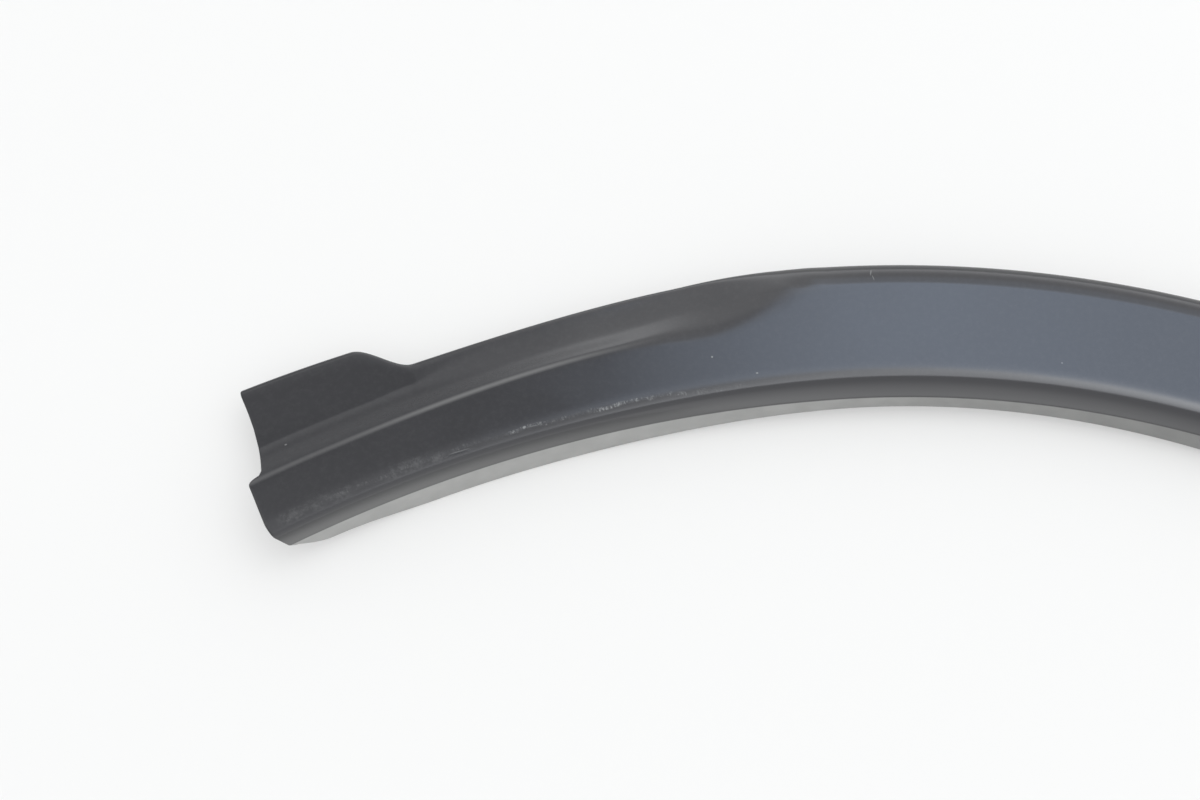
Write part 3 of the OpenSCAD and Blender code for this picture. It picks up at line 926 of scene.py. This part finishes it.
def make_surroundings(light):
    """A world of soft patches: a plain room with a dark stretch of ceiling, a window, a lamp and walls."""
    world = bpy.data.worlds.new("surroundings")
    world.use_nodes = True
    tree = world.node_tree
    nodes = Numbers(tree)
    direction = add_node(tree, "ShaderNodeTexCoord").outputs["Generated"]
    x, y, up = add_node(tree, "ShaderNodeSeparateXYZ", {0: direction}).outputs
    # Places on a ceiling 1 m above the trim: metres to the right of a point of it, and metres beyond it
    height = nodes.math("MAXIMUM", up, 0.02)
    right, beyond = nodes.math("DIVIDE", x, height), nodes.math("DIVIDE", y, height)
    # A dark stretch of ceiling lies beyond the trim, and a window with a cool sky fills its right-hand part
    stretch = nodes.product(nodes.ramp(beyond, 0.3, 0.55), nodes.ramp(beyond, 0.8, 0.57), light.stretch)
    pane = nodes.total(
        nodes.ramp(right, -0.005, 0.03, 0.0, light.pane),
        nodes.ramp(right, 0.03, 0.16, 0.0, light.pane_middle))
    pane = nodes.math("SUBTRACT", pane, nodes.ramp(right, 0.2, 0.33, 0.0, light.pane_right))
    far_edge = nodes.total(nodes.ramp(beyond, 0.85, 0.65, 0.0, 0.78), nodes.ramp(beyond, 1.8, 0.9, 0.0, 0.22))
    window = nodes.product(pane, nodes.ramp(beyond, 0.28, 0.42), far_edge)
    # A bright lamp hangs above the trim's right half
    lamp = nodes.product(
        nodes.ramp(right, 0.05, 0.3, 0.0, light.lamp),
        nodes.ramp(beyond, -0.1, 0.0), nodes.ramp(beyond, 0.42, 0.28))
    # Low down, the room is darker at the left and its far wall is brighter towards the right
    corner = nodes.product(nodes.ramp(x, -0.12, -0.32, 0.0, light.corner), nodes.ramp(up, 0.8, 0.25))
    wall = nodes.product(nodes.ramp(x, -0.28, -0.12, 0.0, light.wall), nodes.ramp(up, 0.4, 0.12))
    # These four are seen in the gloss alone, so that they leave the floor evenly lit
    path = add_node(tree, "ShaderNodeLightPath").outputs
    window, lamp, corner, wall = (
        nodes.product(patch, path["Is Glossy Ray"]) for patch in (window, lamp, corner, wall))
    room = nodes.math("SUBTRACT", nodes.total(wall, light.room), nodes.total(corner, stretch))
    colour_sum = nodes.scaled(ROOM_TINT, room)
    for tint, patch in ((SKY_TINT, window), (LAMP_TINT, lamp)):
        colour_sum = add_node(tree, "ShaderNodeVectorMath", {
            0: colour_sum, 1: nodes.scaled(tint, patch)}, operation="ADD").outputs[0]
    # The camera itself sees a pale backdrop
    seen = nodes.blend(path["Is Camera Ray"], colour_sum, linear("#F7F7F6"))
    tree.links.new(seen, tree.nodes["Background"].inputs["Color"])
    return world


def make_camera():
    """The camera of the photograph."""
    deselect()
    bpy.ops.object.camera_add(location=CAMERA_PLACE, rotation=(CAMERA_TILT, 0, 0))
    camera = bpy.context.object
    camera.name = "camera"
    camera.data.lens, camera.data.sensor_width = CAMERA_LENS, CAMERA_SENSOR
    camera.data.clip_start, camera.data.clip_end = 0.01, 50
    return camera


class ARCHTRIM_OT_stage(bpy.types.Operator):
    """Set up the plain floor, the soft lights, the surroundings and the camera"""
    bl_idname = "arch_trim.stage"
    bl_label = "Studio"

    def execute(self, context):
        scene, light = context.scene, context.scene.arch_trim_light
        floor = make_floor(light)
        # The softbox hangs 1.8 m up, beyond the trim and to its right
        add_softbox("overhead_light", (-0.2, 0.2), (1.4, 1.4), 1.8, light.overhead)
        scene.world = make_surroundings(light)
        scene.camera = make_camera()
        scene.view_settings.view_transform = "Standard"
        return {"FINISHED"}


class ARCHTRIM_PT_panel(bpy.types.Panel):
    """Panel that lists the sizes, the finish and the steps"""
    bl_label = "Arch trim"
    bl_idname = "ARCHTRIM_PT_panel"
    bl_space_type = "VIEW_3D"
    bl_region_type = "UI"
    bl_category = "Arch trim"

    def draw(self, context):
        for operator in OPERATORS:
            self.layout.operator(operator.bl_idname)
        scene = context.scene
        for group in (
                scene.arch_trim_finish, scene.arch_trim_sizes, scene.arch_trim_towers, scene.arch_trim_light):
            column = self.layout.column(align=True)
            for name in group.bl_rna.properties.keys():
                if name not in ("rna_type", "name"):
                    column.prop(group, name)


OPERATORS = (
    ARCHTRIM_OT_finish, ARCHTRIM_OT_moulding, ARCHTRIM_OT_clip_towers, ARCHTRIM_OT_gussets, ARCHTRIM_OT_stage)
CLASSES = (TrimSizes, TowerSizes, TrimFinish, StudioLight) + OPERATORS + (ARCHTRIM_PT_panel,)


def register():
    for cls in CLASSES:
        bpy.utils.register_class(cls)
    bpy.types.Scene.arch_trim_sizes = PointerProperty(type=TrimSizes)
    bpy.types.Scene.arch_trim_towers = PointerProperty(type=TowerSizes)
    bpy.types.Scene.arch_trim_finish = PointerProperty(type=TrimFinish)
    bpy.types.Scene.arch_trim_light = PointerProperty(type=StudioLight)


def unregister():
    del bpy.types.Scene.arch_trim_light
    del bpy.types.Scene.arch_trim_finish
    del bpy.types.Scene.arch_trim_towers
    del bpy.types.Scene.arch_trim_sizes
    for cls in reversed(CLASSES):
        bpy.utils.unregister_class(cls)


def main():
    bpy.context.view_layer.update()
    register()
    bpy.ops.arch_trim.finish()
    bpy.ops.arch_trim.moulding()
    bpy.ops.arch_trim.clip_towers()
    bpy.ops.arch_trim.gussets()
    bpy.ops.arch_trim.stage()
    bpy.context.view_layer.update()


if __name__ == "__main__":
    main()
